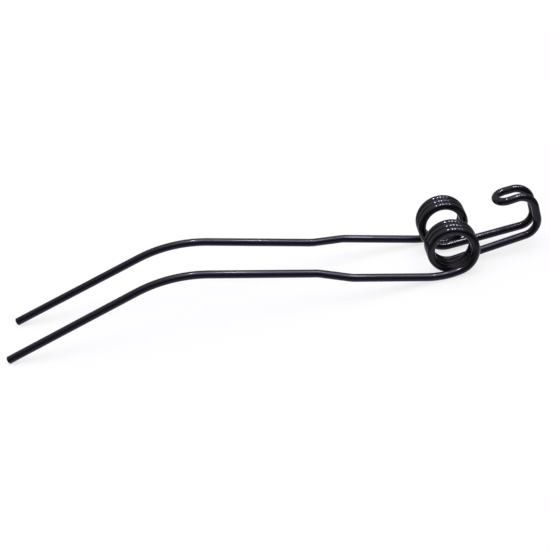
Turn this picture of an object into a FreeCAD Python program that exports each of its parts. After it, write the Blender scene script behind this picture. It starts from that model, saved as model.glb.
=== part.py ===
"""Rotary rake tine: a double coil tine formed from one length of round spring steel wire.

The wire is symmetric about the plane through the middle of its length. Starting in that middle it runs
through the clamp loop (bight, return, riser and leg), the coil, the arm with its joggle and the knee
down to the tip. One half is described step by step, as a spring former bends it, then swept and mirrored.

Millimetres and degrees. While it is being formed, the wire has its middle at the origin, Y across the
tine and the return limbs of the clamp loop along +X. The finished body is turned into the pose in which
it lies on a floor: Z up, the coils and both tip ends on Z = 0, the tips towards -X.
"""
import FreeCAD
import Part
import math
import os

import Sketcher
from FreeCAD import Matrix, Placement, Rotation, Vector

NODE = "rake_tine"

# Every radius is that of the tool inside the bend, so the wire's own thickness is counted once
SIZES = (
    ("wire_dia", 9.5, "diameter of the wire"),
    ("loop_width", 15.9, "clear width of the clamp loop at its bight"),
    ("return_len", 9.0, "straight of the clamp loop between its bight and the upper hook bend"),
    ("hook_rad", 13.8, "inside radius of both hook bends"),
    ("riser_lean", 1.3, "angle at which the riser leans over the legs, off square"),
    ("riser_len", 14.3, "straight between the two hook bends"),
    ("leg_len", 88.2, "straight leg from the lower hook bend to the coil"),
    ("coil_bore", 42.5, "inside diameter of each coil"),
    ("coil_turns", 3, "whole turns of each coil"),
    ("turn_gap", 0.1, "clear gap between neighbouring turns"),
    ("leg_angle", 19.6, "angle of the leg to the arm in side view"),
    ("exit_rad", 95.7, "inside radius where the coil opens out into the arm"),
    ("exit_angle", 23.6, "angle of that opening bend in side view"),
    ("toe_out", 0.8, "angle at which each arm spreads from the middle plane"),
    ("arm_len", 83.5, "straight arm between the coil and the joggle"),
    ("joggle_rad", 20.3, "inside radius of both joggle bends"),
    ("joggle_angle", 16.0, "angle of each joggle bend"),
    ("joggle_len", 33.0, "straight between the two joggle bends"),
    ("shank_len", 124.0, "straight arm between the joggle and the knee"),
    ("knee_rad", 159.7, "inside radius of the knee"),
    ("knee_angle", 31.0, "angle of the knee"),
    ("tip_len", 178.0, "straight from the knee to the cropped end"),
    ("end_chamfer", 0.5, "chamfer of the cropped ends"),
)

ACROSS = Vector(0, 1, 0)
# Spacing of the points on the centreline at which the resting pose is looked for
REST_STEP = 1.0
CLOSE = 1e-6


def make_sheet(doc):
    """Write the driving sizes into a spreadsheet and return it."""
    sheet = doc.addObject("Spreadsheet::Sheet", "Sizes")
    for row, (alias, value, meaning) in enumerate(SIZES, start=1):
        sheet.set(f"A{row}", alias)
        sheet.set(f"B{row}", str(value))
        sheet.setAlias(f"B{row}", alias)
        sheet.set(f"C{row}", meaning)
    doc.recompute()
    return sheet


class WireFormer:
    """Centreline of a wire, bent step by step from its start; every step leaves along the last tangent."""

    def __init__(self, wire_dia, start, heading, curl_side):
        self.wire_rad = wire_dia / 2
        self.point = start
        self.heading = heading
        self.curl_side = curl_side
        self.edges = []

    def feed(self, length):
        """Run the wire on, straight."""
        end = self.point + self.heading * length
        self.edges.append(Part.makeLine(self.point, end))
        self.point = end

    def bend(self, inside_rad, angle, axis):
        """Bend by an angle about an axis square to the heading, over a pin of the inside radius."""
        radius = inside_rad + self.wire_rad
        centre = self.point + axis.cross(self.heading) * radius
        spoke = self.point - centre
        middle = centre + Rotation(axis, angle / 2).multVec(spoke)
        end = centre + Rotation(axis, angle).multVec(spoke)
        self.edges.append(Part.Arc(self.point, middle, end).toShape())
        self.point = end
        self.heading = Rotation(axis, angle).multVec(self.heading)
        self.curl_side = Rotation(axis, angle).multVec(self.curl_side)

    def curl(self, inside_rad, angle):
        """Bend towards the curl side, the way in which the hook and the coil are curled."""
        self.bend(inside_rad, angle, self.heading.cross(self.curl_side))

    def uncurl(self, inside_rad, angle):
        """Bend away from the curl side."""
        self.bend(inside_rad, angle, self.curl_side.cross(self.heading))

    def swing_in(self, inside_rad, angle):
        """Bend across the tine, towards the middle plane."""
        self.bend(inside_rad, angle, self.curl_side)

    def swing_out(self, inside_rad, angle):
        """Bend across the tine, away from the middle plane."""
        self.bend(inside_rad, angle, -self.curl_side)

    def bend_to(self, inside_rad, target):
        """Bend by the shortest way into a given heading, and turn the curl side back across the tine."""
        axis = self.heading.cross(target).normalize()
        self.bend(inside_rad, math.degrees(self.heading.getAngle(target)), axis)
        self.curl_side = ACROSS.cross(self.heading).normalize()

    def wind(self, inside_rad, pitch, angle):
        """Wind a coil about an axis across the tine, moving outwards by the pitch in each turn."""
        radius = inside_rad + self.wire_rad
        helix = Part.makeHelix(pitch, pitch * angle / 360, radius).Edges[0]
        start = helix.valueAt(helix.FirstParameter)
        start_seat = seat(start, Vector(-start.x, -start.y, 0).normalize(), Vector(0, 0, 1))
        wire_seat = seat(self.point, self.curl_side, ACROSS)
        edge = helix.transformed(wire_seat.multiply(start_seat.inverse()).toMatrix())
        self.edges.append(edge)
        self.point = edge.valueAt(edge.LastParameter)
        self.heading = edge.tangentAt(edge.LastParameter)

    def wire(self):
        """Return the whole centreline as one wire."""
        return Part.Wire(self.edges)


def seat(point, inward, axis):
    """Placement at a point of a coil: its X points inwards and its Z along the coil's axis."""
    along = axis.cross(inward)
    rows = ((inward.x, along.x, axis.x, 0), (inward.y, along.y, axis.y, 0), (inward.z, along.z, axis.z, 0))
    turned = Matrix(*rows[0], *rows[1], *rows[2], 0, 0, 0, 1)
    return Placement(point, Placement(turned).Rotation)


def form_half(sheet):
    """Centreline of one half of the wire, from the middle of the clamp loop to the tip."""
    wire_dia = sheet.wire_dia
    pitch = wire_dia + sheet.turn_gap
    coil_rad = sheet.coil_bore / 2
    mean_girth = 2 * math.pi * (coil_rad + wire_dia / 2)
    lead = math.degrees(math.atan2(pitch, mean_girth))

    former = WireFormer(wire_dia, Vector(0, 0, 0), ACROSS, Vector(0, 0, -1))
    # The loop's limbs close in towards its hook by the helix's lead, and so run into the coil unkinked
    former.swing_in(sheet.loop_width / 2, 90 + lead)
    former.feed(sheet.return_len)
    former.curl(sheet.hook_rad, 90 + sheet.riser_lean)
    former.feed(sheet.riser_len)
    former.curl(sheet.hook_rad, 90 - sheet.riser_lean)
    former.feed(sheet.leg_len)
    arm_heading = arm_direction(former.heading, sheet)
    former.wind(coil_rad, pitch, 360 * sheet.coil_turns + sheet.leg_angle - sheet.exit_angle)
    former.bend_to(sheet.exit_rad, arm_heading)
    former.feed(sheet.arm_len)
    former.swing_in(sheet.joggle_rad, sheet.joggle_angle)
    former.feed(sheet.joggle_len)
    former.swing_out(sheet.joggle_rad, sheet.joggle_angle)
    former.feed(sheet.shank_len)
    former.uncurl(sheet.knee_rad, sheet.knee_angle)
    former.feed(sheet.tip_len)
    return former.wire()


def arm_direction(leg_heading, sheet):
    """Heading of the arm: the leg's own in side view, curled on by the leg angle, spread by the toe-out."""
    along = Vector(leg_heading.x, 0, leg_heading.z).normalize()
    along = Rotation(ACROSS, sheet.leg_angle).multVec(along)
    spread = math.radians(sheet.toe_out)
    return along * math.cos(spread) + ACROSS * math.sin(spread)


def origin_plane(body, role):
    """One of a body's own origin planes."""
    return next(feature for feature in body.Origin.OriginFeatures if feature.Role == role)


def make_tine(doc, sheet):
    """Body of the tine: the wire section swept along one half, its end chamfered, and the half mirrored."""
    centreline = doc.addObject("Part::Feature", "HalfCentreline")
    centreline.Label = "half_centreline"
    centreline.Shape = form_half(sheet)

    body = doc.addObject("PartDesign::Body", NODE)
    body.Label = NODE
    section = body.newObject("Sketcher::SketchObject", "WireSection")
    section.AttachmentSupport = [(origin_plane(body, "XZ_Plane"), "")]
    section.MapMode = "FlatFace"
    circle = section.addGeometry(Part.Circle(Vector(0, 0, 0), Vector(0, 0, 1), sheet.wire_dia / 2))
    section.addConstraint(Sketcher.Constraint("Coincident", circle, 3, -1, 1))
    diameter = section.addConstraint(Sketcher.Constraint("Diameter", circle, sheet.wire_dia))
    section.setExpression(f"Constraints[{diameter}]", "Sizes.wire_dia * 1 mm")

    spine = body.newObject("PartDesign::SubShapeBinder", "HalfSpine")
    spine.Support = [(centreline, "")]
    doc.recompute()

    half = body.newObject("PartDesign::AdditivePipe", "HalfTine")
    half.Profile = section
    half.Spine = (spine, [f"Edge{index}" for index in range(1, len(spine.Shape.Edges) + 1)])
    doc.recompute()

    cropped = body.newObject("PartDesign::Chamfer", "CroppedEnd")
    cropped.Base = (half, [end_edge_name(half.Shape, centreline.Shape)])
    cropped.setExpression("Size", "Sizes.end_chamfer * 1 mm")
    doc.recompute()

    whole = body.newObject("PartDesign::Mirrored", "WholeTine")
    whole.TransformMode = "Whole shape"
    whole.MirrorPlane = (origin_plane(body, "XZ_Plane"), [""])
    body.Tip = whole
    doc.recompute()
    resting = resting_placement(centreline.Shape, sheet.wire_dia / 2)
    body.Placement = resting
    centreline.Placement = resting
    doc.recompute()
    return body, centreline


def end_edge_name(shape, centreline):
    """Name of the circular edge around the cropped end, at the free end of the centreline."""
    last = centreline.Edges[-1]
    tip = last.valueAt(last.LastParameter)
    rims = [index for index, edge in enumerate(shape.Edges, start=1)
            if isinstance(edge.Curve, Part.Circle) and edge.Curve.Center.distanceToPoint(tip) < CLOSE]
    return f"Edge{rims[0]}"


def path_samples(centreline):
    """Points and headings along the centreline, one list per edge."""
    samples = []
    for edge in centreline.Edges:
        count = max(2, math.ceil(edge.Length / REST_STEP) + 1)
        span = edge.LastParameter - edge.FirstParameter
        steps = [edge.FirstParameter + span * index / (count - 1) for index in range(count)]
        samples.append([(edge.valueAt(step), edge.tangentAt(step)) for step in steps])
    return samples


def reach(rotation, samples, wire_rad, direction):
    """How far the turned wire reaches in a direction, past the centreline by its own thickness."""
    furthest = -math.inf
    for point, heading in samples:
        along = rotation.multVec(heading).dot(direction)
        thickness = wire_rad * math.sqrt(max(0.0, 1 - along * along))
        furthest = max(furthest, rotation.multVec(point).dot(direction) + thickness)
    return furthest


def resting_placement(centreline, wire_rad):
    """Pose on a floor: the cropped ends and the coils touch Z = 0, and the origin is under the middle."""
    spans = path_samples(centreline)
    tip_end = spans[-1][-1:]
    behind_tip = [sample for span in spans[:-1] for sample in span]
    everything = behind_tip + spans[-1]
    down = Vector(0, 0, -1)

    tips_down, tips_up = -90.0, 90.0
    while tips_up - tips_down > CLOSE:
        angle = (tips_down + tips_up) / 2
        rotation = Rotation(ACROSS, angle)
        if reach(rotation, tip_end, wire_rad, down) > reach(rotation, behind_tip, wire_rad, down):
            tips_down = angle
        else:
            tips_up = angle
    rotation = Rotation(ACROSS, tips_down)
    lift = reach(rotation, everything, wire_rad, down)
    front = reach(rotation, everything, wire_rad, Vector(1, 0, 0))
    back = reach(rotation, everything, wire_rad, Vector(-1, 0, 0))
    return Placement(Vector((back - front) / 2, 0, lift), rotation)


def check(doc, body, centreline, sheet):
    """Stop on a failed object, or on a body that isn't one sound solid of the wire's own volume."""
    for item in doc.Objects:
        if "Invalid" in item.State or "Error" in item.State:
            raise RuntimeError(f"{item.Label} failed: {item.State}")
    shape = body.Shape
    if shape.isNull() or not shape.isValid() or len(shape.Solids) != 1:
        raise RuntimeError(f"{body.Label} is not one valid solid")
    section = math.pi * sheet.wire_dia ** 2 / 4
    swept = 2 * section * centreline.Shape.Length
    if abs(shape.Volume / swept - 1) > 0.001:
        raise RuntimeError(f"{body.Label} has volume {shape.Volume:.0f}, its wire {swept:.0f}")
    box = shape.optimalBoundingBox(False)
    print(f"{body.Label}: wire {2 * centreline.Shape.Length:.1f} mm, volume {shape.Volume:.0f} mm3")
    print(f"box {box.XMin:.2f} {box.YMin:.2f} {box.ZMin:.2f} to {box.XMax:.2f} {box.YMax:.2f} {box.ZMax:.2f}")


def main():
    """Build the document and write the tine to parts/."""
    doc = FreeCAD.newDocument("RotaryRakeTine")
    sheet = make_sheet(doc)
    body, centreline = make_tine(doc, sheet)
    check(doc, body, centreline, sheet)
    os.makedirs("parts", exist_ok=True)
    body.Shape.exportStep(os.path.join("parts", f"{NODE}.step"))


main()
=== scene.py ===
"""Rotary rake tine: its formed wire and black lacquer, on a pale studio floor.

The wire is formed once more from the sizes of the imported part, as one smooth skin that also carries
what its finish needs: where each point lay on the straight drawn wire, how tight its bend is and where
it is cropped. Metres and degrees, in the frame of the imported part.
"""
import logging
import math
from dataclasses import dataclass, field
from enum import Enum

import bpy
import numpy as np
from mathutils import Matrix, Quaternion, Vector


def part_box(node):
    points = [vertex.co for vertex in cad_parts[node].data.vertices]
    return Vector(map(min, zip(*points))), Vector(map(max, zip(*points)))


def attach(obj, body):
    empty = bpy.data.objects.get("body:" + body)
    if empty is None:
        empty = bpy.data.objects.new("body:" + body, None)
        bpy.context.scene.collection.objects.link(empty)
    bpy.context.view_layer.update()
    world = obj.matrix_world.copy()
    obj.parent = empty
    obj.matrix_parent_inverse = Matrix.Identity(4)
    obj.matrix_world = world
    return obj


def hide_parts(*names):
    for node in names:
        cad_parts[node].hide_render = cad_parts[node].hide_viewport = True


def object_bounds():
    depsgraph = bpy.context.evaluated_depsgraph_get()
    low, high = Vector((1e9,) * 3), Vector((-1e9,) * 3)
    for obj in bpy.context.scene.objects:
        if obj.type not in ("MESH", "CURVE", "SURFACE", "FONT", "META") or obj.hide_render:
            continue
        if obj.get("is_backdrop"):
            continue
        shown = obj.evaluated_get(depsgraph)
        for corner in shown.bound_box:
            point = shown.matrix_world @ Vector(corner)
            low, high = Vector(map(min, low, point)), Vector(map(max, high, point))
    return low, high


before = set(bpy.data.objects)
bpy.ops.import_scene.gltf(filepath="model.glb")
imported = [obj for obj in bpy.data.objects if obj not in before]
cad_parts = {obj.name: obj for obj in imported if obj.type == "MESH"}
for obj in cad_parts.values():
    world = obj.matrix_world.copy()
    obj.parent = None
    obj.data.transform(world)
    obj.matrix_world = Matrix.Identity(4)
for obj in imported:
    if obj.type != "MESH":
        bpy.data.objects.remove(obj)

log = logging.getLogger("rake_tine")

MM = 0.001
NODE = "rake_tine"
BODY = "root"
ACROSS = Vector((0.0, 1.0, 0.0))
DOWN = Vector((0.0, 0.0, -1.0))
CLOSE = 1e-9

# How far a chord of the drawn skin may lie inside its bend, and its longest step along a straight
CHORD_ERROR = 0.012 * MM
LONGEST_STEP = 9 * MM

# Broad bands of wear for each drawn line, and the noise values between which a band sets in
BANDS_PER_LINE = 0.22
WORN_SPAN = (0.42, 0.68)

# Distance from its middle at which a nib of dust ends, in cells, and its height against the ripple's
NIB_SPAN = (0.03, 0.14)
NIB_HEIGHT = 0.5

# Clouds for each ripple of the lacquer, and the noise values between which a cloud sets in
CLOUDS_PER_RIPPLE = 0.12
CLOUD_SPAN = (0.3, 0.7)

# Places of the Mix node's colour sockets, which share their names with its other sockets
MIX_FIRST, MIX_SECOND, MIX_RESULT = 6, 7, 2

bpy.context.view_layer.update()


class Bend(Enum):
    """Ways in which the former bends the wire."""

    CURL = "towards the curl side, as the hook and the coil are curled"
    UNCURL = "away from the curl side"
    SWING_IN = "across the tine, towards its middle plane"
    SWING_OUT = "across the tine, away from its middle plane"


@dataclass
class PathPoint:
    """A point on the wire's centreline."""

    place: Vector
    heading: Vector
    tightness: float = 0.0
    taper: float = 1.0

    def turned(self, turn: Quaternion, shift: Vector) -> "PathPoint":
        """This point, turned about the origin and then shifted.

        Args:
            turn: the rotation.
            shift: what is added to the turned place.

        Returns:
            A new point of the same tightness and taper.
        """
        return PathPoint(turn @ self.place + shift, turn @ self.heading, self.tightness, self.taper)

    def mirrored(self) -> "PathPoint":
        """The point across the middle plane, on a wire that is run through the other way."""
        flip = Vector((1.0, -1.0, 1.0))
        return PathPoint(self.place * flip, -(self.heading * flip), self.tightness, self.taper)


class WireFormer:
    """Bends a wire step by step from its start, and keeps the points of its centreline."""

    def __init__(self, wire_dia: float, start: Vector, heading: Vector, curl_side: Vector) -> None:
        """Set the wire's end at its start.

        Args:
            wire_dia: diameter of the wire.
            start: where the centreline begins.
            heading: the way in which it begins.
            curl_side: the side, square to the heading, to which the wire is curled.
        """
        self.wire_rad = wire_dia / 2
        self.place = start
        self.heading = heading
        self.curl_side = curl_side
        self.points = [PathPoint(start, heading)]

    def feed(self, length: float) -> None:
        """Run the wire on, straight.

        Args:
            length: how far.
        """
        steps = max(1, math.ceil(length / LONGEST_STEP))
        start = self.place
        for step in range(1, steps + 1):
            self.place = start + self.heading * (length * step / steps)
            self.points.append(PathPoint(self.place, self.heading))

    def bend(self, way: Bend, inside_rad: float, angle: float) -> None:
        """Bend the wire over a round tool.

        Args:
            way: the way of the bend.
            inside_rad: radius of the tool inside the bend.
            angle: degrees.
        """
        axes = {
            Bend.CURL: self.heading.cross(self.curl_side),
            Bend.UNCURL: self.curl_side.cross(self.heading),
            Bend.SWING_IN: self.curl_side.copy(),
            Bend.SWING_OUT: -self.curl_side,
        }
        self.bend_about(axes[way], inside_rad, angle)

    def bend_about(self, axis: Vector, inside_rad: float, angle: float, lead: float = 0.0) -> None:
        """Bend the wire about an axis.

        Args:
            axis: unit axis of the bend, square to the heading apart from its lead.
            inside_rad: radius of the tool inside the bend.
            angle: degrees.
            lead: travel along the axis in a full turn.
        """
        radius = inside_rad + self.wire_rad
        ring = (self.heading - axis * self.heading.dot(axis)).normalized()
        spoke = ring.cross(axis) * radius
        centre = self.place - spoke
        rise = lead / (2 * math.pi)
        steps = math.ceil(math.radians(angle) / chord_angle(radius + self.wire_rad))
        tightness = self.wire_rad / radius
        # The skin's two ends of a bend belong to the straights beside it
        self.points[-1].tightness = max(self.points[-1].tightness, tightness / 2)
        for step in range(1, steps + 1):
            part = math.radians(angle) * step / steps
            turn = Quaternion(axis, part)
            self.place = centre + turn @ spoke + axis * (rise * part)
            self.heading = ((turn @ ring) * radius + axis * rise).normalized()
            self.points.append(PathPoint(self.place, self.heading, tightness))
        self.points[-1].tightness = tightness / 2
        self.curl_side = Quaternion(axis, math.radians(angle)) @ self.curl_side

    def bend_to(self, inside_rad: float, target: Vector) -> None:
        """Bend the wire by the shortest way into a heading.

        Args:
            inside_rad: radius of the tool inside the bend.
            target: the heading to reach.
        """
        axis = self.heading.cross(target).normalized()
        self.bend_about(axis, inside_rad, math.degrees(self.heading.angle(target)))
        self.curl_side = ACROSS.cross(self.heading).normalized()


def chord_angle(radius: float) -> float:
    """The largest step round a bend, in radians, whose chord stays within the chord error.

    Args:
        radius: the outside radius of the bend.

    Returns:
        The angle between neighbouring rings of the skin.
    """
    return 2 * math.acos(1 - CHORD_ERROR / radius)


@dataclass
class ClampLoop:
    """The hooked loop by which the tine is bolted to its arm: bight, return, hook and leg."""

    width: float = 15.9 * MM
    return_len: float = 9.0 * MM
    hook_rad: float = 13.8 * MM
    riser_lean: float = 1.3
    riser_len: float = 14.3 * MM
    leg_len: float = 88.2 * MM

    def form(self, former: WireFormer, close_in: float) -> None:
        """Form half of the loop, from the middle of its bight to the end of the leg.

        Args:
            former: holds the wire at the middle of the bight.
            close_in: degrees by which the limbs close in towards the hook.
        """
        former.bend(Bend.SWING_IN, self.width / 2, 90 + close_in)
        former.feed(self.return_len)
        former.bend(Bend.CURL, self.hook_rad, 90 + self.riser_lean)
        former.feed(self.riser_len)
        former.bend(Bend.CURL, self.hook_rad, 90 - self.riser_lean)
        former.feed(self.leg_len)


@dataclass
class Arm:
    """One arm: joggled inwards, with a wide knee and a straight tip."""

    leg_angle: float = 19.6
    toe_out: float = 0.8
    root_len: float = 83.5 * MM
    joggle_rad: float = 20.3 * MM
    joggle_angle: float = 16.0
    joggle_len: float = 33.0 * MM
    shank_len: float = 124.0 * MM
    knee_rad: float = 159.7 * MM
    knee_angle: float = 31.0
    tip_len: float = 178.0 * MM
    end_chamfer: float = 0.5 * MM

    def direction(self, leg_heading: Vector) -> Vector:
        """Heading of the arm where it leaves the coil.

        Args:
            leg_heading: heading of the leg, on the other side of the coil.

        Returns:
            A unit vector.
        """
        along = Vector((leg_heading.x, 0.0, leg_heading.z)).normalized()
        along = Quaternion(ACROSS, math.radians(self.leg_angle)) @ along
        spread = math.radians(self.toe_out)
        return along * math.cos(spread) + ACROSS * math.sin(spread)

    def form(self, former: WireFormer) -> None:
        """Form the arm, from the coil to its cropped end.

        Args:
            former: holds the wire where it leaves the coil.
        """
        former.feed(self.root_len)
        former.bend(Bend.SWING_IN, self.joggle_rad, self.joggle_angle)
        former.feed(self.joggle_len)
        former.bend(Bend.SWING_OUT, self.joggle_rad, self.joggle_angle)
        former.feed(self.shank_len)
        former.bend(Bend.UNCURL, self.knee_rad, self.knee_angle)
        former.feed(self.tip_len - self.end_chamfer)
        former.feed(self.end_chamfer)
        former.points[-1].taper = 1 - self.end_chamfer / former.wire_rad


@dataclass
class Coil:
    """One coil, and the bend at which it opens out into its arm."""

    bore: float = 42.5 * MM
    turns: int = 3
    turn_gap: float = 0.1 * MM
    exit_rad: float = 95.7 * MM
    exit_angle: float = 23.6

    def pitch(self, wire_dia: float) -> float:
        """Travel across the tine in a whole turn.

        Args:
            wire_dia: diameter of the wire.

        Returns:
            Metres.
        """
        return wire_dia + self.turn_gap

    def helix_angle(self, wire_dia: float) -> float:
        """Angle at which the turns run, off square to the coil's axis.

        Args:
            wire_dia: diameter of the wire.

        Returns:
            Degrees.
        """
        girth = math.pi * (self.bore + wire_dia)
        return math.degrees(math.atan2(self.pitch(wire_dia), girth))

    def form(self, former: WireFormer, arm: Arm) -> None:
        """Wind the coil and open it out into the arm's heading.

        Args:
            former: holds the wire at the end of the leg.
            arm: the arm that the coil runs into.
        """
        arm_heading = arm.direction(former.heading)
        whole = 360 * self.turns + arm.leg_angle - self.exit_angle
        former.bend_about(ACROSS, self.bore / 2, whole, self.pitch(2 * former.wire_rad))
        former.bend_to(self.exit_rad, arm_heading)


@dataclass(frozen=True)
class BlackLacquer:
    """Black lacquer over drawn wire: violet satin on the straights, glossier and warmer in the bends.

    The finish goes over from straight to bent while the wire's tightness runs through bent_span. Clouded
    places are rougher by cloud, and worn lines by the share of it named wear.
    """

    name: str = "black_lacquer"
    straight: tuple[float, float, float] = (0.0043, 0.0034, 0.0078)
    bent: tuple[float, float, float] = (0.0045, 0.0048, 0.0035)
    straight_rough: float = 0.38
    bent_rough: float = 0.08
    bent_span: tuple[float, float] = (0.04, 0.16)
    cloud: float = 0.02
    wear: float = 0.35
    ior: float = 1.5
    specular: float = 0.18
    specular_tint: tuple[float, float, float] = (0.85, 0.78, 1.0)
    coat: float = 0.15
    coat_rough: float = 0.12
    ripple: float = 0.1
    ripple_depth: float = 0.04 * MM
    ripples_per_metre: float = 260.0
    nibs_per_metre: float = 150.0
    lines: float = 0.35
    line_depth: float = 0.002 * MM
    lines_per_metre: float = 2600.0
    line_stretch: float = 60.0


@dataclass(frozen=True)
class CroppedSteel:
    """The sheared face of the wire, lacquered thinly over its torn grain."""

    name: str = "cropped_steel"
    burnished: tuple[float, float, float] = (0.0240, 0.0230, 0.0250)
    torn: tuple[float, float, float] = (0.0120, 0.0115, 0.0120)
    roughness: float = 0.42
    grain: float = 0.6
    grain_depth: float = 0.06 * MM
    grains_per_metre: float = 2200.0
    nibs_per_metre: float = 700.0
    lines_per_metre: float = 1500.0


@dataclass(frozen=True)
class StudioPaper:
    """Pale paper under the tine, which the camera sees as white apart from the tine's shadow.

    A reflection sees it lit as well, unless it looks at it flatly: steep_span is the facing over which
    that light sets in.
    """

    name: str = "studio_paper"
    colour: tuple[float, float, float] = (0.26, 0.26, 0.26)
    roughness: float = 0.7
    seen: float = 0.75
    seen_colour: tuple[float, float, float] = (1.0, 1.0, 0.985)
    mirrored: float = 1.0
    mirrored_colour: tuple[float, float, float] = (0.9, 0.86, 1.0)
    steep_span: tuple[float, float] = (0.75, 0.45)


class Sheet:
    """A node tree that is written from left to right."""

    def __init__(self, tree: bpy.types.NodeTree) -> None:
        """Start on a tree.

        Args:
            tree: the node tree to write.
        """
        self.tree = tree
        self.column = 0

    def node(self, kind: str, settings: dict | None = None, **inputs: object) -> bpy.types.Node:
        """Add a node, set it up and feed its inputs.

        Args:
            kind: the node's type.
            settings: properties of the node itself.
            inputs: values or output sockets for its inputs, by name, with spaces as underscores.

        Returns:
            The node.
        """
        made = self.tree.nodes.new(kind)
        self.column += 1
        made.location = (self.column * 190, 0)
        for key, value in (settings or {}).items():
            setattr(made, key, value)
        for key, value in inputs.items():
            self.feed(made.inputs[key.replace("_", " ")], value)
        return made

    def feed(self, socket: bpy.types.NodeSocket, value: object) -> None:
        """Link an output into a socket, or set the socket's own value.

        Args:
            socket: the input.
            value: an output socket, or a plain value.
        """
        if isinstance(value, bpy.types.NodeSocket):
            self.tree.links.new(value, socket)
        else:
            socket.default_value = value

    def maths(self, operation: str, first: object, second: object) -> bpy.types.NodeSocket:
        """Work out one sum.

        Args:
            operation: name of the sum, as the Math node has it.
            first: its first number, or a socket.
            second: its second number, or a socket.

        Returns:
            The result's socket.
        """
        made = self.node("ShaderNodeMath", {"operation": operation})
        self.feed(made.inputs[0], first)
        self.feed(made.inputs[1], second)
        return made.outputs[0]

    def ranged(
        self, value: object, span: tuple[float, float], low: object = 0.0, high: object = 1.0,
        smooth: bool = False,
    ) -> bpy.types.NodeSocket:
        """Map a span of a value to another span, and hold the result beyond its ends.

        Args:
            value: the value, or a socket.
            span: where it starts and ends.
            low: the result at the start.
            high: the result at the end.
            smooth: whether the result eases in and out.

        Returns:
            The result's socket.
        """
        made = self.node(
            "ShaderNodeMapRange", {"interpolation_type": "SMOOTHSTEP" if smooth else "LINEAR"},
            Value=value, From_Min=span[0], From_Max=span[1], To_Min=low, To_Max=high,
        )
        return made.outputs[0]

    def mix(self, share: object, first: tuple, second: tuple) -> bpy.types.NodeSocket:
        """Mix two colours.

        Args:
            share: how much of the second colour shows, or a socket.
            first: red, green and blue.
            second: red, green and blue.

        Returns:
            The mixed colour's socket.
        """
        made = self.node("ShaderNodeMix", {"data_type": "RGBA"})
        self.feed(made.inputs["Factor"], share)
        self.feed(made.inputs[MIX_FIRST], (*first, 1.0))
        self.feed(made.inputs[MIX_SECOND], (*second, 1.0))
        return made.outputs[MIX_RESULT]

    def attribute(self, name: str) -> bpy.types.Node:
        """Read an attribute of the mesh.

        Args:
            name: the attribute's name.

        Returns:
            The node, with one output for each kind of value.
        """
        return self.node("ShaderNodeAttribute", {"attribute_name": name})


def group(name: str, inputs: dict[str, str], outputs: dict[str, str]) -> tuple[Sheet, dict, dict]:
    """Start a shader node group.

    Args:
        name: the group's name.
        inputs: socket types by name.
        outputs: socket types by name.

    Returns:
        The sheet to write it on, its inputs' sockets and its outputs' sockets, by name.
    """
    tree = bpy.data.node_groups.new(name, "ShaderNodeTree")
    for title, kind in inputs.items():
        tree.interface.new_socket(name=title, in_out="INPUT", socket_type=kind)
    for title, kind in outputs.items():
        tree.interface.new_socket(name=title, in_out="OUTPUT", socket_type=kind)
    sheet = Sheet(tree)
    entry = sheet.node("NodeGroupInput")
    leave = sheet.node("NodeGroupOutput")
    return sheet, {s.name: s for s in entry.outputs}, {s.name: s for s in leave.inputs}


def drawn_lines_group() -> bpy.types.NodeTree:
    """Fine lines that the drawing die leaves along the wire.

    Returns:
        A group that reads the place on the straight wire and gives a height and a mask, both 0 to 1.
    """
    floats = "NodeSocketFloat"
    sheet, given, wanted = group(
        "Drawn lines",
        {"Place": "NodeSocketVector", "Lines per Metre": floats, "Stretch": floats},
        {"Height": floats, "Mask": floats},
    )
    parts = sheet.node("ShaderNodeSeparateXYZ", Vector=given["Place"])
    along = sheet.maths("DIVIDE", parts.outputs["Z"], given["Stretch"])
    squeezed = sheet.node("ShaderNodeCombineXYZ", X=parts.outputs["X"], Y=parts.outputs["Y"], Z=along)
    fine = sheet.node(
        "ShaderNodeTexNoise",
        Vector=squeezed.outputs[0], Scale=given["Lines per Metre"], Detail=3.0, Roughness=0.55,
    )
    broad_scale = sheet.maths("MULTIPLY", given["Lines per Metre"], BANDS_PER_LINE)
    broad = sheet.node(
        "ShaderNodeTexNoise", Vector=squeezed.outputs[0], Scale=broad_scale, Detail=2.0, Roughness=0.5,
    )
    sheet.feed(wanted["Height"], fine.outputs[0])
    sheet.feed(wanted["Mask"], sheet.ranged(broad.outputs[0], WORN_SPAN))
    return sheet.tree


def lacquer_skin_group() -> bpy.types.NodeTree:
    """The skin of dipped lacquer: a slow ripple, sparse nibs of dust and a cloudy gloss.

    Returns:
        A group that reads a place in metres and gives a height and a cloud mask, both 0 to 1.
    """
    floats = "NodeSocketFloat"
    sheet, given, wanted = group(
        "Lacquer skin",
        {"Place": "NodeSocketVector", "Ripples per Metre": floats, "Nibs per Metre": floats},
        {"Height": floats, "Cloud": floats},
    )
    ripple = sheet.node(
        "ShaderNodeTexNoise",
        Vector=given["Place"], Scale=given["Ripples per Metre"], Detail=1.5, Roughness=0.45,
    )
    cells = sheet.node(
        "ShaderNodeTexVoronoi", Vector=given["Place"], Scale=given["Nibs per Metre"], Randomness=1.0,
    )
    nib = sheet.ranged(cells.outputs["Distance"], NIB_SPAN, NIB_HEIGHT, 0.0)
    cloud_scale = sheet.maths("MULTIPLY", given["Ripples per Metre"], CLOUDS_PER_RIPPLE)
    cloud = sheet.node(
        "ShaderNodeTexNoise", Vector=given["Place"], Scale=cloud_scale, Detail=4.0, Roughness=0.6,
    )
    sheet.feed(wanted["Height"], sheet.maths("ADD", ripple.outputs[0], nib))
    sheet.feed(wanted["Cloud"], sheet.ranged(cloud.outputs[0], CLOUD_SPAN))
    return sheet.tree


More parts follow.
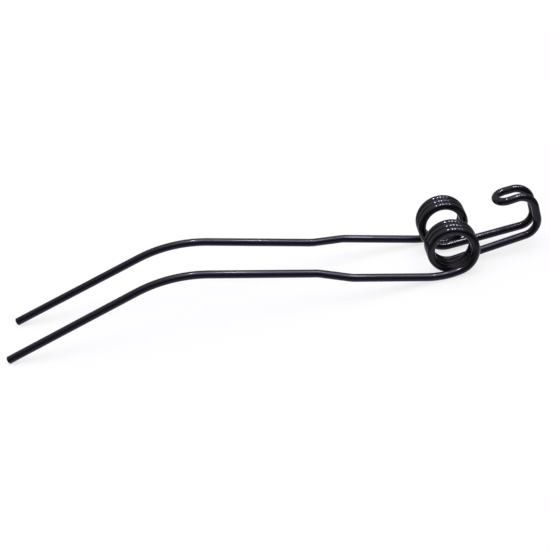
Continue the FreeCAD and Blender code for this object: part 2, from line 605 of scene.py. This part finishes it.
@dataclass
class PaintShop:
    """Makes the tine's materials from the finishes, and shares their effects."""

    lacquer: BlackLacquer = BlackLacquer()
    cropped: CroppedSteel = CroppedSteel()
    paper: StudioPaper = StudioPaper()
    effects: dict[str, bpy.types.NodeTree] = field(default_factory=dict)

    def open(self) -> None:
        """Build the effects that the materials share."""
        self.effects = {"lines": drawn_lines_group(), "skin": lacquer_skin_group()}

    def material(
        self, name: str, view_colour: tuple[float, float, float],
    ) -> tuple[bpy.types.Material, Sheet, bpy.types.Node]:
        """Start a material.

        Args:
            name: the material's name.
            view_colour: colour in the viewport.

        Returns:
            The material, its sheet and its shader node.
        """
        made = bpy.data.materials.new(name)
        made.use_nodes = True
        made.diffuse_color = (*view_colour, 1.0)
        sheet = Sheet(made.node_tree)
        return made, sheet, made.node_tree.nodes["Principled BSDF"]

    def wire_material(self) -> bpy.types.Material:
        """The lacquered wire, patterned along the wire as it was drawn."""
        finish = self.lacquer
        made, sheet, shader = self.material(finish.name, finish.straight)
        drawn = sheet.attribute("drawn_place").outputs["Vector"]
        lines = sheet.node(
            "ShaderNodeGroup", {"node_tree": self.effects["lines"]},
            Place=drawn, Lines_per_Metre=finish.lines_per_metre, Stretch=finish.line_stretch,
        )
        skin = sheet.node(
            "ShaderNodeGroup", {"node_tree": self.effects["skin"]},
            Place=drawn, Ripples_per_Metre=finish.ripples_per_metre, Nibs_per_Metre=finish.nibs_per_metre,
        )
        bent = sheet.ranged(sheet.attribute("tightness").outputs["Fac"], finish.bent_span)
        sheet.feed(shader.inputs["Base Color"], sheet.mix(bent, finish.straight, finish.bent))

        worn = sheet.maths("MULTIPLY", lines.outputs["Mask"], finish.wear)
        cloudy = sheet.maths("ADD", worn, skin.outputs["Cloud"])
        base = sheet.ranged(bent, (0.0, 1.0), finish.straight_rough, finish.bent_rough)
        rough = sheet.maths("ADD", base, sheet.maths("MULTIPLY", cloudy, finish.cloud))
        sheet.feed(shader.inputs["Roughness"], rough)
        shader.inputs["IOR"].default_value = finish.ior
        shader.inputs["Specular IOR Level"].default_value = finish.specular
        shader.inputs["Specular Tint"].default_value = (*finish.specular_tint, 1.0)
        shader.inputs["Coat Weight"].default_value = finish.coat
        shader.inputs["Coat Roughness"].default_value = finish.coat_rough

        fine = sheet.node(
            "ShaderNodeBump",
            Height=lines.outputs["Height"], Strength=finish.lines, Distance=finish.line_depth,
        )
        bump = sheet.node(
            "ShaderNodeBump", Height=skin.outputs["Height"], Strength=finish.ripple,
            Distance=finish.ripple_depth, Normal=fine.outputs[0],
        )
        sheet.feed(shader.inputs["Normal"], bump.outputs[0])
        return made

    def end_material(self) -> bpy.types.Material:
        """The cropped face, its burnished and torn grain mixed in clouds."""
        finish = self.cropped
        made, sheet, shader = self.material(finish.name, finish.burnished)
        place = sheet.node("ShaderNodeTexCoord").outputs["Object"]
        drawn = sheet.attribute("drawn_place").outputs["Vector"]
        grain = sheet.node(
            "ShaderNodeGroup", {"node_tree": self.effects["skin"]},
            Place=place, Ripples_per_Metre=finish.grains_per_metre, Nibs_per_Metre=finish.nibs_per_metre,
        )
        lines = sheet.node(
            "ShaderNodeGroup", {"node_tree": self.effects["lines"]},
            Place=drawn, Lines_per_Metre=finish.lines_per_metre, Stretch=1.0,
        )
        colour = sheet.mix(grain.outputs["Cloud"], finish.burnished, finish.torn)
        sheet.feed(shader.inputs["Base Color"], colour)
        shader.inputs["Roughness"].default_value = finish.roughness
        height = sheet.maths("ADD", grain.outputs["Height"], lines.outputs["Height"])
        bump = sheet.node(
            "ShaderNodeBump", Height=height, Strength=finish.grain, Distance=finish.grain_depth,
        )
        sheet.feed(shader.inputs["Normal"], bump.outputs[0])
        return made

    def paper_material(self) -> bpy.types.Material:
        """The floor's paper, lifted to white where the camera sees it or the gloss mirrors it steeply."""
        finish = self.paper
        made, sheet, shader = self.material(finish.name, finish.colour)
        shader.inputs["Base Color"].default_value = (*finish.colour, 1.0)
        shader.inputs["Roughness"].default_value = finish.roughness
        shader.inputs["Specular IOR Level"].default_value = 0.0
        path = sheet.node("ShaderNodeLightPath")
        glance = sheet.node("ShaderNodeLayerWeight", Blend=0.5).outputs["Facing"]
        steep = sheet.ranged(glance, finish.steep_span)
        mirrored = sheet.maths("MULTIPLY", path.outputs["Is Glossy Ray"], steep)
        mirrored = sheet.maths("MULTIPLY", mirrored, finish.mirrored)
        direct = sheet.maths("MAXIMUM", path.outputs["Is Camera Ray"], path.outputs["Is Transmission Ray"])
        seen = sheet.maths("MULTIPLY", direct, finish.seen)
        colour = sheet.mix(direct, finish.mirrored_colour, finish.seen_colour)
        sheet.feed(shader.inputs["Emission Color"], colour)
        sheet.feed(shader.inputs["Emission Strength"], sheet.maths("MAXIMUM", seen, mirrored))
        return made


def wire_skin_tree() -> bpy.types.NodeTree:
    """Geometry nodes that lay a round skin along a centreline, with chamfered caps.

    Returns:
        A tree whose inputs are the wire's radius, the sides of its section and its two materials.
    """
    tree = bpy.data.node_groups.new("Wire skin", "GeometryNodeTree")
    sockets = (
        ("Centreline", "INPUT", "NodeSocketGeometry"),
        ("Wire Radius", "INPUT", "NodeSocketFloat"),
        ("Section Sides", "INPUT", "NodeSocketInt"),
        ("Sharp Angle", "INPUT", "NodeSocketFloat"),
        ("Cap Taper", "INPUT", "NodeSocketFloat"),
        ("Wire Finish", "INPUT", "NodeSocketMaterial"),
        ("Cap Finish", "INPUT", "NodeSocketMaterial"),
        ("Skin", "OUTPUT", "NodeSocketGeometry"),
    )
    for title, way, kind in sockets:
        tree.interface.new_socket(name=title, in_out=way, socket_type=kind)
    sheet = Sheet(tree)
    given = sheet.node("NodeGroupInput").outputs

    spine = sheet.node("GeometryNodeMeshToCurve", Mesh=given["Centreline"])
    run = sheet.node("GeometryNodeSplineParameter")
    marked = sheet.node(
        "GeometryNodeStoreNamedAttribute", {"data_type": "FLOAT", "domain": "POINT"},
        Geometry=spine.outputs[0], Name="run", Value=run.outputs["Length"],
    )
    circle = sheet.node(
        "GeometryNodeCurvePrimitiveCircle", {"mode": "RADIUS"},
        Resolution=given["Section Sides"], Radius=given["Wire Radius"],
    )
    around = sheet.node("GeometryNodeInputPosition")
    section = sheet.node(
        "GeometryNodeStoreNamedAttribute", {"data_type": "FLOAT_VECTOR", "domain": "POINT"},
        Geometry=circle.outputs["Curve"], Name="section", Value=around.outputs[0],
    )
    taper = sheet.node("GeometryNodeInputNamedAttribute", {"data_type": "FLOAT"}, Name="taper")
    skin = sheet.node(
        "GeometryNodeCurveToMesh",
        Curve=marked.outputs[0], Profile_Curve=section.outputs[0],
        Scale=taper.outputs[0], Fill_Caps=True,
    )
    flat = sheet.node("GeometryNodeInputNamedAttribute", {"data_type": "FLOAT_VECTOR"}, Name="section")
    scaled = sheet.node("ShaderNodeVectorMath", {"operation": "SCALE"}, Scale=taper.outputs[0])
    sheet.feed(scaled.inputs[0], flat.outputs[0])
    length = sheet.node("GeometryNodeInputNamedAttribute", {"data_type": "FLOAT"}, Name="run")
    lift = sheet.node("ShaderNodeCombineXYZ", Z=length.outputs[0])
    drawn = sheet.node("ShaderNodeVectorMath", {"operation": "ADD"})
    sheet.feed(drawn.inputs[0], scaled.outputs[0])
    sheet.feed(drawn.inputs[1], lift.outputs[0])
    placed = sheet.node(
        "GeometryNodeStoreNamedAttribute", {"data_type": "FLOAT_VECTOR", "domain": "POINT"},
        Geometry=skin.outputs[0], Name="drawn_place", Value=drawn.outputs[0],
    )
    smooth = sheet.node(
        "GeometryNodeSetShadeSmooth", {"domain": "FACE"}, Geometry=placed.outputs[0], Shade_Smooth=True,
    )
    corner = sheet.node("GeometryNodeInputMeshEdgeAngle")
    sharp = sheet.maths("GREATER_THAN", corner.outputs["Unsigned Angle"], given["Sharp Angle"])
    creased = sheet.node(
        "GeometryNodeSetShadeSmooth", {"domain": "EDGE"},
        Geometry=smooth.outputs[0], Selection=sharp, Shade_Smooth=False,
    )
    whole = sheet.node("GeometryNodeRealizeInstances", Geometry=creased.outputs[0])
    coated = sheet.node("GeometryNodeSetMaterial", Geometry=whole.outputs[0], Material=given["Wire Finish"])
    shown = sheet.node("GeometryNodeInputNamedAttribute", {"data_type": "FLOAT"}, Name="taper")
    is_cap = sheet.maths("LESS_THAN", shown.outputs[0], given["Cap Taper"])
    capped = sheet.node(
        "GeometryNodeSetMaterial",
        Geometry=coated.outputs[0], Selection=is_cap, Material=given["Cap Finish"],
    )
    sheet.node("NodeGroupOutput", Skin=capped.outputs[0])
    return tree


@dataclass
class RakeTine:
    """The whole tine: one wire, mirrored about the middle of its clamp loop, lying on the floor."""

    wire_dia: float = 9.5 * MM
    sides: int = 48
    sharp_angle: float = 30.0
    blend: float = 12 * MM
    loop: ClampLoop = field(default_factory=ClampLoop)
    coil: Coil = field(default_factory=Coil)
    arm: Arm = field(default_factory=Arm)

    def half_path(self) -> list[PathPoint]:
        """Centreline of the left half, from the middle of the bight to the tip."""
        former = WireFormer(self.wire_dia, Vector((0.0, 0.0, 0.0)), ACROSS.copy(), DOWN.copy())
        self.loop.form(former, self.coil.helix_angle(self.wire_dia))
        self.coil.form(former, self.arm)
        self.arm.form(former)
        return former.points

    def resting_path(self) -> list[PathPoint]:
        """Centreline of the whole wire, from tip to tip, as it rests on the floor.

        Returns:
            The points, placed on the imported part.
        """
        half = self.half_path()
        turn = Quaternion(ACROSS, self.resting_angle(half))
        low = -self.reach(half, turn, DOWN)
        front = self.reach(half, turn, Vector((1.0, 0.0, 0.0)))
        back = self.reach(half, turn, Vector((-1.0, 0.0, 0.0)))
        cad_low, cad_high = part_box(NODE)
        middle = (cad_low.x + cad_high.x) / 2
        shift = Vector((middle - (front - back) / 2, 0.0, -low))
        half = [point.turned(turn, shift) for point in half]
        return [point.mirrored() for point in reversed(half[1:])] + half

    def reach(self, points: list[PathPoint], turn: Quaternion, way: Vector) -> float:
        """How far the turned wire reaches in a direction.

        Args:
            points: the centreline.
            turn: the rotation.
            way: unit direction.

        Returns:
            The furthest distance along that direction, the wire's thickness included.
        """
        far = -math.inf
        for point in points:
            along = (turn @ point.heading).dot(way)
            rim = point.taper * self.wire_dia / 2 * math.sqrt(max(0.0, 1 - along * along))
            far = max(far, (turn @ point.place).dot(way) + rim)
        return far

    def resting_angle(self, half: list[PathPoint]) -> float:
        """Angle about the crosswise axis at which the tips and the coils touch the floor together.

        Args:
            half: centreline of one half, as formed.

        Returns:
            Radians.
        """
        # The tip's straight touches the floor with its end only, so its other points are left out
        tip_count = 1 + math.ceil((self.arm.tip_len - self.arm.end_chamfer) / LONGEST_STEP)
        tip, rest = half[-2:], half[:-tip_count]
        tips_down, tips_up = -math.pi / 2, math.pi / 2
        while tips_up - tips_down > CLOSE:
            angle = (tips_down + tips_up) / 2
            turn = Quaternion(ACROSS, angle)
            if self.reach(tip, turn, DOWN) > self.reach(rest, turn, DOWN):
                tips_down = angle
            else:
                tips_up = angle
        return tips_down

    def eased_tightness(self, path: list[PathPoint]) -> np.ndarray:
        """Tightness averaged along the wire, so that the finish changes softly along it.

        Args:
            path: the centreline.

        Returns:
            One value for each point.
        """
        steps = [(after.place - before.place).length for before, after in zip(path, path[1:])]
        tight = np.array([point.tightness for point in path])
        run = np.concatenate(([0.0], np.cumsum(steps)))
        total = np.concatenate(([0.0], np.cumsum((tight[1:] + tight[:-1]) / 2 * steps)))
        ahead = np.interp(run + self.blend, run, total)
        behind = np.interp(run - self.blend, run, total)
        return (ahead - behind) / (2 * self.blend)

    def build(self, shop: PaintShop) -> bpy.types.Object:
        """Make the tine's skin as a plain mesh, with its finishes on it.

        Args:
            shop: makes the materials.

        Returns:
            The finished piece, at the origin.
        """
        path = self.resting_path()
        mesh = bpy.data.meshes.new("centreline")
        mesh.from_pydata([p.place for p in path], [(i, i + 1) for i in range(len(path) - 1)], [])
        marks = {"tightness": self.eased_tightness(path), "taper": [point.taper for point in path]}
        for name, values in marks.items():
            mesh.attributes.new(name, "FLOAT", "POINT").data.foreach_set("value", values)
        spine = bpy.data.objects.new("centreline", mesh)
        bpy.context.scene.collection.objects.link(spine)

        tree = wire_skin_tree()
        # A face's taper is the mean of its corners': the limit lies midway between a cap and its chamfer
        end_taper = path[-1].taper
        chamfer_taper = (end_taper + 1) / 2
        inputs = {
            "Wire Radius": self.wire_dia / 2,
            "Section Sides": self.sides,
            "Sharp Angle": math.radians(self.sharp_angle),
            "Cap Taper": (end_taper + chamfer_taper) / 2,
            "Wire Finish": shop.wire_material(),
            "Cap Finish": shop.end_material(),
        }
        skin = spine.modifiers.new("Wire skin", "NODES")
        skin.node_group = tree
        for item in tree.interface.items_tree:
            if item.in_out == "INPUT" and item.name in inputs:
                skin[item.identifier] = inputs[item.name]
        wire = self.freeze(spine, "formed_wire")
        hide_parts(NODE)
        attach(wire, BODY)
        return wire

    def freeze(self, spine: bpy.types.Object, name: str) -> bpy.types.Object:
        """Turn what a spine's modifier makes into a plain mesh, and drop the spine.

        Args:
            spine: the object with the modifier.
            name: the new piece's name.

        Returns:
            The new object.
        """
        graph = bpy.context.evaluated_depsgraph_get()
        made = bpy.data.meshes.new_from_object(spine.evaluated_get(graph), depsgraph=graph)
        made.name = name
        piece = bpy.data.objects.new(name, made)
        bpy.context.scene.collection.objects.link(piece)
        spine.modifiers.clear()
        centreline = spine.data
        bpy.data.objects.remove(spine)
        bpy.data.meshes.remove(centreline)
        return piece


@dataclass
class LampRow:
    """A row of short tube lamps, set crosswise over the tine, which only gloss answers to."""

    height: float = 1.92
    offset: float = -0.15
    places: tuple[float, ...] = (0.03, 0.5, 0.82, 1.27, 1.82)
    length: float = 0.6
    width: float = 0.05
    watts: tuple[float, ...] = (28.0, 18.0, 24.0, 16.0, 12.0)
    colour: tuple[float, float, float] = (0.91, 0.88, 1.0)

    def hang(self) -> None:
        """Hang the lamps, facing down."""
        for number, (along, watts) in enumerate(zip(self.places, self.watts), start=1):
            data = bpy.data.lights.new(f"lamp_{number}", "AREA")
            data.energy = watts
            data.color = self.colour
            data.shape = "RECTANGLE"
            data.size = self.width
            data.size_y = self.length
            lamp = bpy.data.objects.new(data.name, data)
            lamp.location = (along, self.offset, self.height)
            lamp.visible_diffuse = False
            bpy.context.scene.collection.objects.link(lamp)


@dataclass
class Studio:
    """Floor, world, lamps and camera.

    Each span says where one brightness or colour of the world goes over into the next, as the component
    of the direction along the named axis.
    """

    floor_size: float = 24.0
    overhead_left: float = 1.65
    overhead_right: float = 2.6
    overhead_span_x: tuple[float, float] = (-0.15, 0.4)
    left_wall: float = 0.75
    far_wall: float = 0.36
    wall_span_x: tuple[float, float] = (-0.8, 0.2)
    room: float = 0.12
    room_span_y: tuple[float, float] = (-0.75, 0.15)
    rise_span_z: tuple[float, float] = (0.45, 1.0)
    wall_colour: tuple[float, float, float] = (1.0, 0.98, 1.0)
    ceiling_colour: tuple[float, float, float] = (0.91, 0.87, 1.0)
    colour_span_z: tuple[float, float] = (0.3, 0.8)
    lamps: LampRow = field(default_factory=LampRow)
    focal_px: float = 1195.27
    frame_px: float = 550.0
    sensor: float = 36.0
    eye: Vector = field(default_factory=lambda: Vector((0.055742, -1.246097, 0.737274)))
    azimuth: float = 2.358
    elevation: float = 29.805
    roll: float = -12.457

    def build(self, shop: PaintShop) -> None:
        """Set the whole stage up.

        Args:
            shop: makes the floor's material.
        """
        self.lay_floor(shop)
        self.light_world()
        self.lamps.hang()
        self.place_camera()
        bpy.context.scene.view_settings.view_transform = "Standard"

    def lay_floor(self, shop: PaintShop) -> None:
        """Lay the paper on the floor.

        Args:
            shop: makes its material.
        """
        half = self.floor_size / 2
        mesh = bpy.data.meshes.new("studio_floor")
        corners = [(-half, -half, 0), (half, -half, 0), (half, half, 0), (-half, half, 0)]
        mesh.from_pydata(corners, [], [(0, 1, 2, 3)])
        mesh.materials.append(shop.paper_material())
        floor = bpy.data.objects.new("studio_floor", mesh)
        bpy.context.scene.collection.objects.link(floor)
        floor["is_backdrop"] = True

    def light_world(self) -> None:
        """Make the world soft: a ceiling brighter to the right, paler walls and a dim room in front.

        The camera sees the backdrop itself as white.
        """
        world = bpy.data.worlds.new("studio_world")
        world.use_nodes = True
        bpy.context.scene.world = world
        sheet = Sheet(world.node_tree)
        background = world.node_tree.nodes["Background"]
        way = sheet.node("ShaderNodeTexCoord").outputs["Generated"]
        parts = sheet.node("ShaderNodeSeparateXYZ", Vector=way)
        x, y, z = (parts.outputs[axis] for axis in "XYZ")
        walls = sheet.ranged(x, self.wall_span_x, self.left_wall, self.far_wall, smooth=True)
        low = sheet.ranged(y, self.room_span_y, self.room, walls, smooth=True)
        overhead = sheet.ranged(
            x, self.overhead_span_x, self.overhead_left, self.overhead_right, smooth=True,
        )
        strength = sheet.ranged(z, self.rise_span_z, low, overhead, smooth=True)
        seen = sheet.node("ShaderNodeLightPath").outputs["Is Camera Ray"]
        high = sheet.ranged(z, self.colour_span_z, smooth=True)
        sheet.feed(background.inputs["Color"], sheet.mix(high, self.wall_colour, self.ceiling_colour))
        sheet.feed(background.inputs["Strength"], sheet.maths("MAXIMUM", strength, seen))

    def place_camera(self) -> None:
        """Place the camera as the photograph was taken, looking down on the tine and rolled a little."""
        data = bpy.data.cameras.new("camera")
        data.sensor_width = self.sensor
        data.lens = self.focal_px * self.sensor / self.frame_px
        camera = bpy.data.objects.new("camera", data)
        turn = (
            Matrix.Rotation(math.radians(self.azimuth), 4, "Z")
            @ Matrix.Rotation(math.radians(90 - self.elevation), 4, "X")
            @ Matrix.Rotation(math.radians(self.roll), 4, "Z")
        )
        camera.matrix_world = Matrix.Translation(self.eye) @ turn
        bpy.context.scene.collection.objects.link(camera)
        bpy.context.scene.camera = camera


def main() -> None:
    """Build the tine and its stage in order, and report each piece."""
    logging.basicConfig(level=logging.INFO, format="%(name)s: %(message)s")
    shop = PaintShop()
    shop.open()
    wire = RakeTine().build(shop)
    log.info("%s: %d points, %d faces", wire.name, len(wire.data.vertices), len(wire.data.polygons))
    Studio().build(shop)
    low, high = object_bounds()
    log.info("box %s to %s", [round(x * 1000, 2) for x in low], [round(x * 1000, 2) for x in high])


if __name__ == "__main__":
    main()
